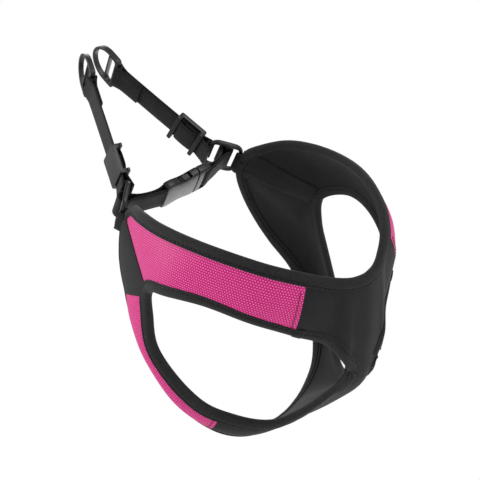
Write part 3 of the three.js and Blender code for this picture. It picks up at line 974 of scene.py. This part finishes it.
def band_path(first, second, radii, middle_gap, sag):
    """A closed band round two bars that run along X. Its plies draw together between them and sag."""
    run = unit(second - first)
    side = unit(np.cross((1, 0, 0), run))
    path = around(first, side, 180, radii[0])
    shares = np.linspace(0.14, 0.86, 6)
    down = np.array((0, 0, -1.0))

    def ply(share, sign):
        radius = radii[0] if share < 0.5 else radii[1]
        gap = middle_gap + (radius - middle_gap) * abs(2 * share - 1) ** 3
        return first + (second - first) * share + side * sign * gap + down * sag * 4 * share * (1 - share)

    path += [ply(share, -1) for share in shares]
    path += around(second, -side, 180, radii[1])
    path += [ply(share, 1) for share in shares[::-1]]
    return rounded(path + path[:1])[:-1]


# ---- modelling by hand

def pick(kind, chosen):
    """In edit mode, selects the verts or the edges that pass a test."""
    bpy.ops.mesh.select_mode(type=kind[:-1].upper())
    bpy.ops.mesh.select_all(action="DESELECT")
    mesh = bmesh.from_edit_mesh(bpy.context.edit_object.data)
    for part in getattr(mesh, kind):
        if chosen(part):
            part.select_set(True)
    bmesh.update_edit_mesh(bpy.context.edit_object.data)


def cut_lines(xs, ys):
    """In edit mode, cuts every face along planes across X and Y, given in millimetres."""
    for axis, values in (((1, 0, 0), xs), ((0, 1, 0), ys)):
        for value in values:
            bpy.ops.mesh.select_all(action="SELECT")
            bpy.ops.mesh.bisect(plane_co=[value * MM * part for part in axis], plane_no=axis)


def sized(name, scale):
    """Names and scales the primitive that was just added, and keeps its place in its mesh."""
    piece = bpy.context.object
    piece.name = name
    piece.scale = tuple(scale)
    bpy.ops.object.transform_apply(location=True, rotation=True, scale=True)
    return piece


def box_piece(name, low, high):
    """A cube primitive stretched between two corners in millimetres, with its place in its mesh."""
    low, high = np.asarray(low, float), np.asarray(high, float)
    deselect()
    bpy.ops.mesh.primitive_cube_add(size=1, location=tuple((low + high) / 2 * MM))
    return sized(name, (high - low) * MM)


def rounded_box(name, low, high, radius, segments=8):
    """A box whose four edges along Z are rounded."""
    piece = box_piece(name, low, high)
    bpy.ops.object.mode_set(mode="EDIT")
    pick("edges", lambda edge: abs(edge.verts[0].co.z - edge.verts[1].co.z) > 0.5 * MM)
    bpy.ops.mesh.bevel(offset=radius * MM, segments=segments, affect="EDGES")
    bpy.ops.object.mode_set(mode="OBJECT")
    return piece


def half_oval(name, base, radii, thick):
    """The upper half of an oval block, standing on the line y = base."""
    deselect()
    bpy.ops.mesh.primitive_cylinder_add(vertices=72, radius=1, depth=1, location=(0, base * MM, 0))
    piece = sized(name, (radii[0] * MM, radii[1] * MM, thick * MM))
    bpy.ops.object.mode_set(mode="EDIT")
    bpy.ops.mesh.select_all(action="SELECT")
    bpy.ops.mesh.bisect(plane_co=(0, base * MM, 0), plane_no=(0, 1, 0), use_fill=True, clear_inner=True)
    bpy.ops.object.mode_set(mode="OBJECT")
    return piece


def soft_edges(piece, width, segments=3, angle=35):
    modifier = piece.modifiers.new("soft edges", "BEVEL")
    modifier.width = width * MM
    modifier.segments = segments
    modifier.limit_method = "ANGLE"
    modifier.angle_limit = math.radians(angle)
    modifier.miter_outer = "MITER_ARC"
    apply_modifiers(piece)
    smooth(piece, 40)
    return piece


def combined(piece, others, operation):
    """Cuts the others out of a piece or joins them on, then removes them."""
    for other in others:
        modifier = piece.modifiers.new("boolean", "BOOLEAN")
        modifier.operation = operation
        modifier.solver = "EXACT"
        modifier.object = other
        apply_modifiers(piece)
        bpy.data.objects.remove(other)
    return piece


def placed(piece, origin, across, along):
    """Moves a piece from its own axes to its place, and keeps the place in the mesh."""
    normal = unit(np.cross(across, along))
    across = unit(np.cross(along, normal))
    turn = Matrix(np.column_stack([across, along, normal]).tolist()).to_4x4()
    piece.matrix_world = Matrix.Translation(Vector(np.asarray(origin) * MM)) @ turn
    activate(piece)
    bpy.ops.object.transform_apply(location=True, rotation=True, scale=True)
    return piece


def copied(piece, name):
    twin = piece.copy()
    twin.data = piece.data.copy()
    twin.name = name
    bpy.context.scene.collection.objects.link(twin)
    return twin


# ---- hard pieces

def slot(low_y, high_y, radius):
    """A cut right through a plate, as wide as the slots for webbing."""
    return rounded_box("cut", (-SLOT_HALF, low_y, -PLATE), (SLOT_HALF, high_y, PLATE), radius)


def side_ring():
    """Three bars, for the tab's webbing, the buckle strap and the lead strap."""
    tab, middle, top = RING_BARS
    half = PLATE / 2
    ring = rounded_box("side_ring", (-RING_HALF_WIDTH, tab - BAR_REACH, -half),
                       (RING_HALF_WIDTH, top + BAR_REACH, half), 8, 10)
    cuts = [slot(tab + BAR_REACH, middle - BAR_REACH, 2.6), slot(middle + BAR_REACH, top - BAR_REACH, 3)]
    combined(ring, cuts, "DIFFERENCE")
    return soft_edges(ring, 1.2, 4)


def lead_ring():
    """A bar and a slot for the strap, a thin bar, and a D opening for the lead's clip."""
    half = PLATE / 2
    ring = rounded_box("lead_ring", (-15, -BAR_REACH, -half), (15, 12, half), 3)
    combined(ring, [half_oval("bow", 9, (15, 17), PLATE)], "UNION")
    opening = half_oval("cut", 9.4, (12.4, 14.4), 2 * PLATE)
    combined(ring, [slot(BAR_REACH, 8.1, 2.6), opening], "DIFFERENCE")
    return soft_edges(ring, 0.7, 3)


def strap_slide():
    """A plate outside the webbing, held to two bars inside it whose ends stand out."""
    half, post, end = 12.4, 10.7, 12  # half the width, the posts' inner faces, half the length
    clear, skin, bar, ear = 1.95, 1.9, 3.3, 1.4  # half the gap for webbing, the plate, the bars, their ends
    body = rounded_box("strap_slide", (-half, -end, clear), (half, end, clear + skin), 1.5, 4)
    others = []
    for low in (-end, end - bar):
        others += [box_piece("post", (x, low, -clear - 1), (x + half - post, low + bar, clear + 1))
                   for x in (-half, post)]
        others.append(rounded_box(
            "bar", (-half - ear, low, -clear - skin), (half + ear, low + bar, -clear), 1.2, 4))
    others += [box_piece("rail", (x, -end + bar, 0.7), (x + half - post, end - bar, clear + 1))
               for x in (-half, post)]
    combined(body, others, "UNION")
    return soft_edges(body, 0.5)


def buckle_shell(name, half, depth, widths, crown):
    """A crowned block. widths lists (y, share of half) along it. crown is the share of depth at its edge."""
    low_y, high_y = widths[0][0], widths[-1][0]
    body = box_piece(name, (-half, low_y, -depth), (half, high_y, depth))
    bpy.ops.object.mode_set(mode="EDIT")
    cut_lines([half * share for share in (-0.93, -0.72, -0.36, 0, 0.36, 0.72, 0.93)],
              [y for y, _ in widths[1:-1]])
    for y, share in widths:
        pick("verts", lambda v, y=y: abs(v.co.y / MM - y) < 0.02)
        bpy.ops.transform.resize(value=(share, 1, 1), center_override=(0, y * MM, 0))
    for place, share in ((1.0, crown), (0.93, (1 + crown) / 2), (0.72, 0.5 + crown / 2 + 0.1)):
        for y, width in widths:
            pick("verts", lambda v, y=y, w=width, p=place: abs(v.co.y / MM - y) < 0.02
                 and abs(abs(v.co.x / MM) - half * p * w) < 0.05)
            bpy.ops.transform.resize(value=(1, 1, share), center_override=(0, 0, 0))
    bpy.ops.object.mode_set(mode="OBJECT")
    return subdivided(body, 2)


def buckle_female():
    """The socket half: a waisted, crowned shell with a window on each side for the prongs' barbs."""
    widths = ((-30, 0.86), (-29.2, 0.92), (-26, 0.98), (-22.5, 0.96), (-19, 0.885), (-15, 0.845), (-11, 0.86),
              (-6.5, 0.93), (-3, 0.975), (-0.8, 0.985), (0, 0.98))
    body = buckle_shell("buckle_female", BUCKLE_HALF, 4.1, widths, 0.62)
    socket = box_piece("cut", (-11.5, -21.5, -2.6), (11.5, 1, 2.6))
    window = box_piece("cut", (-16, -17.5, -2.9), (16, -6.5, 2.9))
    slot = box_piece("cut", (-10.6, -26.8, -1.9), (10.6, -22.6, 6))
    top = box_piece("cut", (-11.2, -31, 1.9), (11.2, -23, 6))
    for cut in (window, socket, slot):
        soft_edges(cut, 0.7)
    combined(body, [window, socket, slot, top], "DIFFERENCE")
    return soft_edges(body, 0.35, 2, 45)


def buckle_male():
    """The plug half: a crowned shoulder with the strap bar, and the tongue between the prongs."""
    widths = ((0.4, 0.975), (1.2, 0.985), (4, 0.99), (8, 0.97), (11.4, 0.93), (12.4, 0.88), (13, 0.82))
    body = buckle_shell("buckle_male", BUCKLE_HALF, 3.9, widths, 0.66)
    slot = box_piece("cut", (-10.6, 5.6, -6), (10.6, 9.8, 6))
    top = box_piece("cut", (-11.2, 5.6, 1.9), (11.2, 14, 6))
    bottom = box_piece("cut", (-11.2, 5.6, -6), (11.2, 14, -1.9))
    combined(body, [slot, top, bottom], "DIFFERENCE")
    tongue = box_piece("tongue", (-2.4, -19, -2.2), (2.4, 2, 2.2))
    combined(body, [tongue], "UNION")
    return soft_edges(body, 0.35, 2, 45)


# ---- settings

def length_setting(name, description, default, low, high):
    return bpy.props.FloatProperty(
        name=name, description=description, default=default * MM, min=low * MM, max=high * MM, unit="LENGTH")


def colour_setting(name, description, default):
    return bpy.props.FloatVectorProperty(
        name=name, description=description, default=linear(default), subtype="COLOR", size=3, min=0, max=1)


class HarnessSettings(bpy.types.PropertyGroup):
    """Sizes and colours that a user would change."""

    tape_outside: length_setting("Tape outside", "Width of the binding tape on the outer face", 8.5, 4, 20)
    tape_inside: length_setting("Tape inside", "Width of the binding tape on the inner face", 8.0, 4, 20)
    leg_tape_outside: length_setting(
        "Leg tape outside", "Width of the leg holes' tape on the outer face", 9.5, 4, 20)
    puff: length_setting("Puff", "How far the padding swells between its bound edges", 2.2, 0, 8)
    stitch_pitch: length_setting("Stitch pitch", "Distance from one stitch to the next", 3.4, 1.5, 8)
    stitch_length: length_setting("Stitch length", "Length of thread that shows in one stitch", 2.5, 1, 6)
    thread_width: length_setting("Thread width", "Thickness of the sewing thread", 0.6, 0.2, 1.5)
    mesh_pitch: length_setting("Mesh pitch", "Distance between rows of cells in the pink mesh", 1.55, 0.8, 4)
    floor_drop: length_setting(
        "Floor drop", "How far the floor lies below the harness, which is shown as worn", 420, 0, 2000)
    mesh_pink: colour_setting("Mesh pink", "Colour of the mesh's base", "#d61077")
    # The yarn colour is a lighter pink that paints the highlight on the mesh's raised yarns.
    mesh_yarn: colour_setting("Mesh yarn", "Colour of the mesh's raised yarns", "#f887c8")


# ---- operators

class HARNESS_OT_pads(bpy.types.Operator):
    """Builds the neoprene pads, swollen by a short cloth simulation"""
    bl_idname = "harness.pads"
    bl_label = "Pads"

    def execute(self, context):
        body = vest()
        for side in SIDES:
            pad_piece(f"side_pad_{side}", body.side_faces[side], body.base)
        pad_piece("chest_pad", body.chest_faces, body.skin)
        return {"FINISHED"}


class HARNESS_OT_covers(bpy.types.Operator):
    """Lays the pink mesh covers and the black patches over the pads"""
    bl_idname = "harness.covers"
    bl_label = "Covers and patches"

    def execute(self, context):
        for side in SIDES:
            for half in HALVES:
                name = f"{half}_mesh_{side}"
                first = 0.5 if half == "shoulder" else HOLE_TOP_STATION
                piece = cover(name, side, half, first, MESH_END, *MESH_LAYERS, (1, ROWS))
                finished(piece, "vest", "air_mesh", air_mesh(), name)
            name = f"tab_patch_{side}"
            patch = cover(name, side, "girth", 0.4, TAB_PATCH_END, *PATCH_LAYERS)
            finished(patch, "vest", "neoprene", neoprene(), name)
            lining(side)
        return {"FINISHED"}


def lining(side):
    """The reinforcing patch inside a tab, over the webbing that is sewn through to the leg hole."""
    body = vest()
    top = to_side(NECK_EDGE[0], side)
    low = to_side(LEG_HOLE[0], side)
    run = unit(low - top)
    length = np.linalg.norm(low - top)
    columns, rows, half = 16, 8, 11.5
    points, normals, places = [], [], []
    for i in range(columns + 1):
        for k in range(rows + 1):
            along = 6 + (length - 13) * i / columns  # from 6 mm below the tip to 7 mm above the hole
            aside = half * (2 * k / rows - 1) * (1 + 0.12 * math.cos(math.pi * i / columns))
            place, away = body.on(body.inner_tree, top + run * along + np.array((aside, 0, 0)))
            points.append(place)
            normals.append(away)
            places.append((along, aside))
    points, normals = np.array(points), np.array(normals)
    corners = [i * (rows + 1) + k for i in range(columns) for k in range(rows)]
    faces = [[a + rows + 1, a + rows + 2, a + 1, a] for a in corners]
    piece = layered(f"tab_lining_{side}", points - normals * 0.9, points + normals * 0.3, faces,
                    [[places[v] for v in face] for face in faces])
    outside_out(piece)
    subdivided(piece)
    smooth(piece, 60)
    finished(piece, "vest", "neoprene", neoprene(), f"shoulder_lining_{side}", f"girth_lining_{side}")
    return piece


class HARNESS_OT_bindings(bpy.types.Operator):
    """Folds the binding tape over every edge and stitches it down"""
    bl_idname = "harness.bindings"
    bl_label = "Bindings and stitching"

    def execute(self, context):
        settings = context.scene.harness
        outside, inside = settings.tape_outside / MM, settings.tape_inside / MM
        leg = settings.leg_tape_outside / MM
        for name, kind, width in (("neck_binding", "neck", outside), ("rear_binding", "rear", outside),
                                  ("leg_binding_left", "left", leg), ("leg_binding_right", "right", leg)):
            binding_piece(name, kind, width, inside)
            rows = binding_stitches(kind, width) + binding_stitches(kind, inside, "inner")
            stitched(f"{name}_stitches", rows)
        for side in SIDES:
            tape_lap(side, leg, inside)
            stitched(f"cover_stitches_{side}", mesh_end_rows(side))
        return {"FINISHED"}


class HARNESS_OT_webbing(bpy.types.Operator):
    """Makes the tab loops, the buckle straps and the lead straps from flat webbing"""
    bl_idname = "harness.webbing"
    bl_label = "Webbing"

    def execute(self, context):
        for side in SIDES:
            tab_bar, middle, _, along = bar_places(side)
            name = f"lead_strap_{side}"
            strap = ribbon(name, lead_strap_path(side))
            finished(strap, f"strap_{side}", "webbing", webbing(), name)
            over = ribbon(f"slide_webbing_{side}", slide_cover_path(side), 0.9)
            finished(over, f"slide_{side}", "webbing", webbing())

            name = f"tab_loop_{side}"
            tip = to_side(NECK_EDGE[0], side)
            into = unit(to_side(LEG_HOLE[0], side) - tip)
            _, normal = vest().on(vest().inner_tree, tip)
            inside = np.array((tab_bar[0], tip[1], tip[2])) + normal * SKIN / 2 + into * 4
            run = unit(inside - tab_bar)
            out = unit(np.cross((1, 0, 0), run)) * hand(side)
            # The plies leave the bar, draw together at the tab's tip, and run 9 mm on inside the padding.
            plies = [[inside + into * 9 + way * 0.8, inside + way * 0.9, tab_bar + run * 4.5 + way * 2.6]
                     for way in (out, -out)]
            path = plies[0] + around(tab_bar, out, -180 * hand(side), EYE_RADIUS) + plies[1][::-1]
            loop = ribbon(name, rounded(path, 0.9))
            finished(loop, "vest", "webbing", webbing(), name)

            name = f"buckle_strap_{side}"
            low, high = node_box("buckle_male" if side == "left" else "buckle_female")
            end = high[1] - BAR_REACH if side == "left" else low[1] + BAR_REACH
            bar = np.array(((low[0] + high[0]) / 2, end, (low[2] + high[2]) / 2))
            eye = middle + along * 1.6  # loose round the ring's bar, so that it hangs a little high
            band = ribbon(name, band_path(bar, eye, (2.9, 4.9), 1.0, 2.0), closed=True)
            finished(band, None, "webbing", webbing(), name)
            if side == "left":
                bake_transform(band)
            else:
                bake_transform(band)
        return {"FINISHED"}


class HARNESS_OT_rings(bpy.types.Operator):
    """Moulds the side rings, the lead rings and the strap slides"""
    bl_idname = "harness.rings"
    bl_label = "Rings and slides"

    def execute(self, context):
        patterns = {"side_ring": side_ring(), "lead_ring": lead_ring(), "strap_slide": strap_slide()}
        for side in SIDES:
            _, _, top, along = bar_places(side)
            across = (-hand(side), 0, 0)
            end = joint_place(f"lead_ring_swing_{side}")
            run = unit(end - top)
            places = {
                "side_ring": (top - along * RING_BARS[2], along, f"ring_{side}"),
                "lead_ring": (end, self.lead_ring_way(side, end), f"lead_ring_{side}"),
                "strap_slide": (top + run * SLIDE_UP, run, f"slide_{side}"),
            }
            for pattern, (origin, way, body) in places.items():
                name = f"{pattern}_{side}"
                piece = placed(copied(patterns[pattern], name), origin, across, way)
                finished(piece, body, "plastic", acetal(), name)
        for pattern in patterns.values():
            bpy.data.objects.remove(pattern)
        return {"FINISHED"}

    @staticmethod
    def lead_ring_way(side, end):
        """The way that a lead ring points, from its bar to the middle of its round end."""
        points = np.array([v.co for v in frame["nodes"][f"lead_ring_{side}"].data.vertices]) / MM
        far = points[points[:, 2] > points[:, 2].max() - 1.5].mean(axis=0)
        way = far - end
        way[0] = 0
        return unit(way)


class HARNESS_OT_buckle(bpy.types.Operator):
    """Moulds the two halves of the side-release buckle"""
    bl_idname = "harness.buckle"
    bl_label = "Buckle"

    def execute(self, context):
        low, high = node_box("buckle_female")
        mouth = np.array(((low[0] + high[0]) / 2, high[1], (low[2] + high[2]) / 2))
        for name, piece, body in (("buckle_female", buckle_female(), "buckle_female"),
                                  ("buckle_male", buckle_male(), "vest")):
            placed(piece, mouth, (1, 0, 0), (0, 1, 0))
            piece.name = name
            finished(piece, body, "plastic", acetal(), name)
        for name in ("prong_front", "prong_rear"):
            node = frame["nodes"][name]
            node.data.materials.clear()
            node.data.materials.append(acetal())
        return {"FINISHED"}


class HARNESS_OT_stage(bpy.types.Operator):
    """Adds the floor, the sky, the lamps and the camera"""
    bl_idname = "harness.stage"
    bl_label = "Stage"

    def execute(self, context):
        scene = context.scene
        scene.view_settings.view_transform = "Standard"
        self.add_floor(scene)
        self.add_sky(scene)
        for lamp in LAMPS:
            self.add_lamp(scene, *lamp)
        self.add_camera(scene)
        return {"FINISHED"}

    def add_floor(self, scene):
        deselect()
        lowest = CAD_BOX[0][2]
        bpy.ops.mesh.primitive_circle_add(
            vertices=64, radius=FLOOR_RADIUS, fill_type="NGON",
            location=(0, 0, lowest - scene.harness.floor_drop))
        floor = bpy.context.object
        floor.name = "floor"
        material, _, _ = blank_material("pale_floor", Base_Color=linear("#f6f6f6"), Roughness=0.9)
        floor.data.materials.append(material)

    def add_sky(self, scene):
        world = bpy.data.worlds.new("studio")
        scene.world = world
        world.use_nodes = True
        tree = world.node_tree
        tree.nodes.clear()
        seen = add_node(tree, "Background", (1, 1, 1, 1), 1.0)
        light = add_node(tree, "Background", (1, 1, 1, 1), SKY_LIGHT)
        ray = add_node(tree, "LightPath", output="Is Camera Ray")
        add_node(tree, "OutputWorld", add_node(tree, "MixShader", ray, light, seen))

    def add_lamp(self, scene, place, size, watts):
        lamp = bpy.data.lights.new("softbox", "AREA")
        lamp.energy = watts
        lamp.size = size
        holder = bpy.data.objects.new("softbox", lamp)
        holder.location = place
        holder.visible_camera = False
        holder.rotation_euler = Vector(place).to_track_quat("Z", "Y").to_euler()
        scene.collection.objects.link(holder)

    def add_camera(self, scene):
        camera = bpy.data.cameras.new("camera")
        camera.lens = CAMERA_LENS
        camera.sensor_width = 36
        camera.clip_start = 0.01
        holder = bpy.data.objects.new("camera", camera)
        right, up, back = (Vector(v) for v in (CAMERA_RIGHT, CAMERA_UP, CAMERA_BACK))
        turn = Matrix((right, up, back)).transposed().to_4x4()
        place = Vector(CAMERA_TARGET) + back * CAMERA_DISTANCE
        holder.matrix_world = Matrix.Translation(place) @ turn
        scene.collection.objects.link(holder)
        scene.camera = holder


class HARNESS_PT_panel(bpy.types.Panel):
    """Lists the harness's sizes and the steps that build it"""
    bl_idname = "HARNESS_PT_panel"
    bl_label = "Dog harness"
    bl_space_type = "VIEW_3D"
    bl_region_type = "UI"
    bl_category = "Harness"

    def draw(self, context):
        for name in HarnessSettings.__annotations__:
            self.layout.prop(context.scene.harness, name)
        for step in STEPS:
            self.layout.operator(step.bl_idname)


STEPS = (HARNESS_OT_stage, HARNESS_OT_pads, HARNESS_OT_covers, HARNESS_OT_bindings, HARNESS_OT_webbing,
         HARNESS_OT_rings, HARNESS_OT_buckle)
CLASSES = (HarnessSettings, *STEPS, HARNESS_PT_panel)


def register():
    for cls in CLASSES:
        bpy.utils.register_class(cls)
    bpy.types.Scene.harness = bpy.props.PointerProperty(type=HarnessSettings)


def unregister():
    del bpy.types.Scene.harness
    for cls in reversed(CLASSES):
        bpy.utils.unregister_class(cls)


def main():
    register()
    bpy.ops.harness.stage()
    bpy.ops.harness.pads()
    bpy.ops.harness.covers()
    bpy.ops.harness.bindings()
    bpy.ops.harness.webbing()
    bpy.ops.harness.rings()
    bpy.ops.harness.buckle()


if __name__ == "__main__":
    main()
